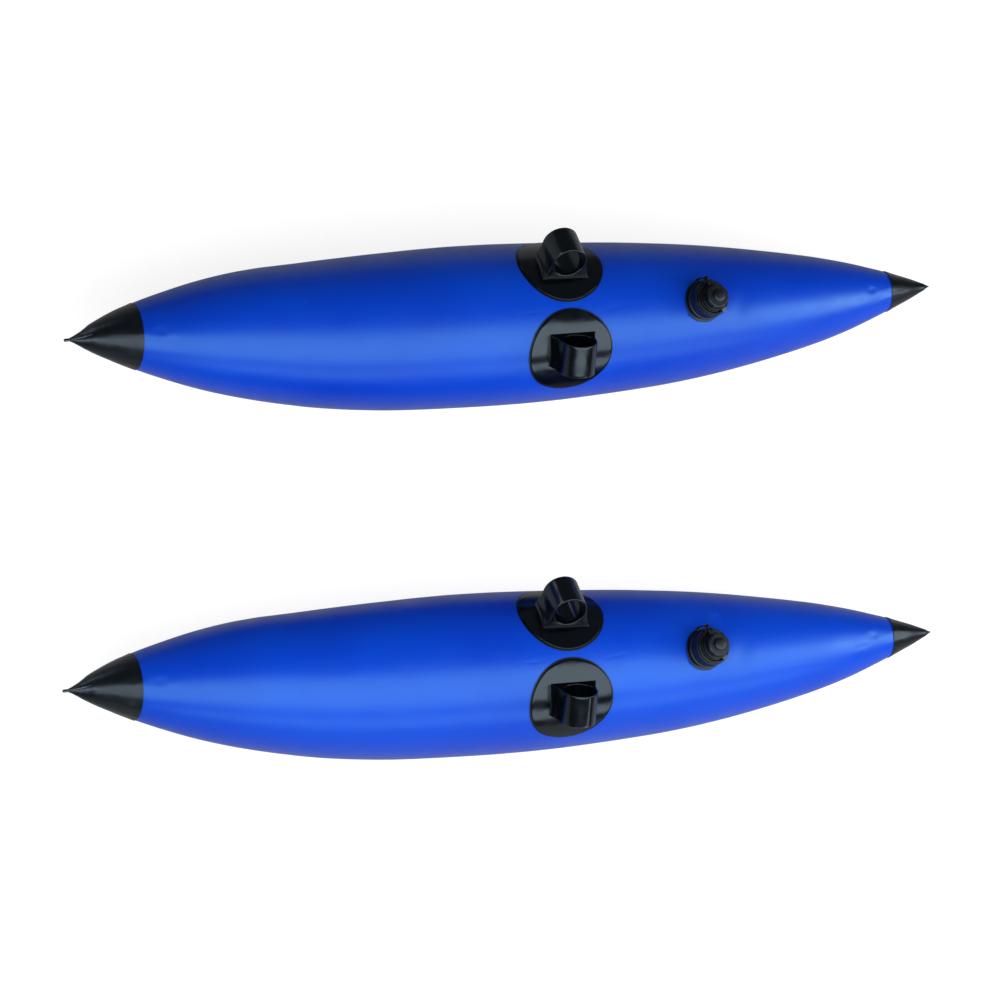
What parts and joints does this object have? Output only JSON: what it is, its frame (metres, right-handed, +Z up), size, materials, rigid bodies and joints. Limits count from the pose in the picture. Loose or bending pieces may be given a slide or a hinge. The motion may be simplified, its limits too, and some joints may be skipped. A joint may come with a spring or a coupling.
{
  "type": "kayak outrigger",
  "caption": "Pair of inflatable outrigger floats: round tapered hulls with cone ends, arched pole sockets and a screw air valve, to steady a kayak.",
  "frame": {"origin": "middle of the pair's footprint, on the surface that the floats lie on", "axes": "+X along the floats towards their tails, +Y from the starboard float to the port float, +Z up out of the valves"},
  "size_m": [1.091, 0.5772, 0.2131],
  "materials": {
    "blue_vinyl": "smooth coated vinyl with a soft sheen",
    "black_vinyl": "satin black coated vinyl",
    "weld_black": "matt black vinyl, welded",
    "gloss_black": "glossy moulded black",
    "valve_black": "semi-gloss moulded black",
    "strap_black": "soft black moulding",
    "seal_rubber": "matt rubber",
    "silicone": "translucent silicone"
  },
  "bodies": {
    "port_float": {"port_air_tube": "blue_vinyl", "port_keel_seam_tape": "blue_vinyl", "port_nose_cone": "black_vinyl", "port_nose_tip": "weld_black", "port_tail_cone": "black_vinyl", "port_tail_tip": "weld_black", "port_far_socket_patch": "weld_black", "port_far_pole_socket": "gloss_black", "port_near_socket_patch": "weld_black", "port_near_pole_socket": "gloss_black", "port_valve_base": "valve_black"},
    "port_valve_collar": {"port_body_seal": "seal_rubber", "port_body_strap": "strap_black"},
    "port_valve": {"port_valve_body": "valve_black"},
    "port_diaphragm": {"port_check_diaphragm": "silicone"},
    "port_cap_collar": {"port_cap_seal": "seal_rubber", "port_cap_strap": "strap_black"},
    "port_cap": {"port_valve_cap": "valve_black"},
    "starboard_float": {"starboard_air_tube": "blue_vinyl", "starboard_keel_seam_tape": "blue_vinyl", "starboard_nose_cone": "black_vinyl", "starboard_nose_tip": "weld_black", "starboard_tail_cone": "black_vinyl", "starboard_tail_tip": "weld_black", "starboard_far_socket_patch": "weld_black", "starboard_far_pole_socket": "gloss_black", "starboard_near_socket_patch": "weld_black", "starboard_near_pole_socket": "gloss_black", "starboard_valve_base": "valve_black"},
    "starboard_valve_collar": {"starboard_body_seal": "seal_rubber", "starboard_body_strap": "strap_black"},
    "starboard_valve": {"starboard_valve_body": "valve_black"},
    "starboard_diaphragm": {"starboard_check_diaphragm": "silicone"},
    "starboard_cap_collar": {"starboard_cap_seal": "seal_rubber", "starboard_cap_strap": "strap_black"},
    "starboard_cap": {"starboard_valve_cap": "valve_black"}
  },
  "joints": [
    {"name": "port_valve_rise", "type": "slide", "parent": "port_float", "child": "port_valve_collar", "axis": [0.1179, -0.0574, 0.9914], "range_m": [0, 0.0135]},
    {"name": "port_valve_turn", "type": "hinge", "parent": "port_valve_collar", "child": "port_valve", "pos_m": [0.2415, 0.1966, 0.16865], "axis": [0.1179, -0.0574, 0.9914], "range_deg": [0, 1080]},
    {"name": "port_diaphragm_open", "type": "slide", "parent": "port_valve", "child": "port_diaphragm", "axis": [-0.1179, 0.0574, -0.9914], "range_m": [0, 0.0024], "stiffness_N_per_m": 100, "springref_m": -0.001},
    {"name": "port_cap_rise", "type": "slide", "parent": "port_valve", "child": "port_cap_collar", "axis": [0.1179, -0.0574, 0.9914], "range_m": [0, 0.009]},
    {"name": "port_cap_turn", "type": "hinge", "parent": "port_cap_collar", "child": "port_cap", "pos_m": [0.2415, 0.1966, 0.16865], "axis": [0.1179, -0.0574, 0.9914], "range_deg": [0, 720]},
    {"name": "starboard_valve_rise", "type": "slide", "parent": "starboard_float", "child": "starboard_valve_collar", "axis": [0.1179, -0.0574, 0.9914], "range_m": [0, 0.0135]},
    {"name": "starboard_valve_turn", "type": "hinge", "parent": "starboard_valve_collar", "child": "starboard_valve", "pos_m": [0.1885, -0.2009, 0.16865], "axis": [0.1179, -0.0574, 0.9914], "range_deg": [0, 1080]},
    {"name": "starboard_diaphragm_open", "type": "slide", "parent": "starboard_valve", "child": "starboard_diaphragm", "axis": [-0.1179, 0.0574, -0.9914], "range_m": [0, 0.0024], "stiffness_N_per_m": 100, "springref_m": -0.001},
    {"name": "starboard_cap_rise", "type": "slide", "parent": "starboard_valve", "child": "starboard_cap_collar", "axis": [0.1179, -0.0574, 0.9914], "range_m": [0, 0.009]},
    {"name": "starboard_cap_turn", "type": "hinge", "parent": "starboard_cap_collar", "child": "starboard_cap", "pos_m": [0.1885, -0.2009, 0.16865], "axis": [0.1179, -0.0574, 0.9914], "range_deg": [0, 720]},
    {"name": "starboard_float_lift", "type": "slide", "parent": "port_float", "child": "starboard_float", "axis": [0, 0, 1], "range_m": [0, 0.3]}
  ],
  "couplings": [
    {"joint": "port_valve_turn", "follows": "port_valve_rise", "rad_per_m": 1396.3},
    {"joint": "port_cap_turn", "follows": "port_cap_rise", "rad_per_m": 1396.3},
    {"joint": "starboard_valve_turn", "follows": "starboard_valve_rise", "rad_per_m": 1396.3},
    {"joint": "starboard_cap_turn", "follows": "starboard_cap_rise", "rad_per_m": 1396.3}
  ]
}
